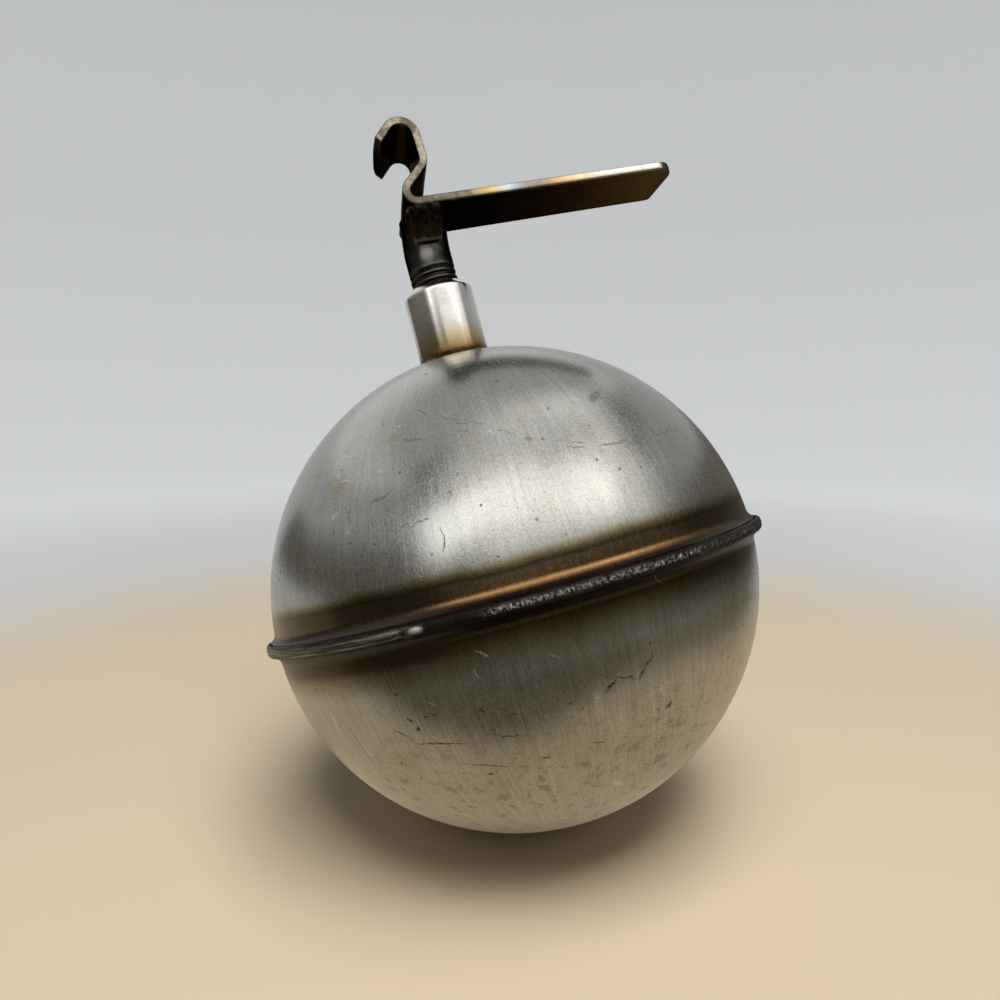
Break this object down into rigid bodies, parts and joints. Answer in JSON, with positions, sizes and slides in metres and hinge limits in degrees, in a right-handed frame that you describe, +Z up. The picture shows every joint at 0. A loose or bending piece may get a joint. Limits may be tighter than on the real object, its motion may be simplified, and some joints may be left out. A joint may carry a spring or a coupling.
{
  "type": "float valve float and lever",
  "caption": "Welded stainless ball float screwed on a short stem under a bent strip lever with a hook that hangs on the valve's pivot pin.",
  "frame": {"origin": "centre of the hook's round seat, where the valve body's pivot pin lies, midway across the strip", "axes": "+Z up along the stem, away from the ball; +X along the flat arm, from the stem to the arm's free tip; +Y along the pivot pin"},
  "size_m": [0.0997, 0.0926, 0.1335],
  "materials": {
    "upper_shell": "satin drawn stainless steel, brushed along the meridians",
    "lower_shell": "satin drawn stainless steel, brushed along the meridians",
    "seam_weld": "heat-darkened edge weld with fine ripples",
    "float_boss": "bright turned stainless steel, straw tint at the foot",
    "boss_weld": "thin brown heat-tinted weld",
    "stem": "dark dull steel, brown near the weld",
    "lever_strip": "rolled strip, browned and blued by welding heat near the stem",
    "front_head_weld": "dark lumpy weld",
    "rear_head_weld": "dark lumpy weld"
  },
  "bodies": {
    "lever": {"lever_strip": "lever_strip", "stem": "stem", "front_head_weld": "front_head_weld", "rear_head_weld": "rear_head_weld"},
    "float": {"upper_shell": "upper_shell", "lower_shell": "lower_shell", "seam_weld": "seam_weld", "float_boss": "float_boss", "boss_weld": "boss_weld"}
  },
  "joints": [
    {"name": "float_turn", "type": "hinge", "parent": "lever", "child": "float", "pos_m": [0.0002, 0, -0.0275], "axis": [0, 0, 1], "continuous": true}
  ]
}
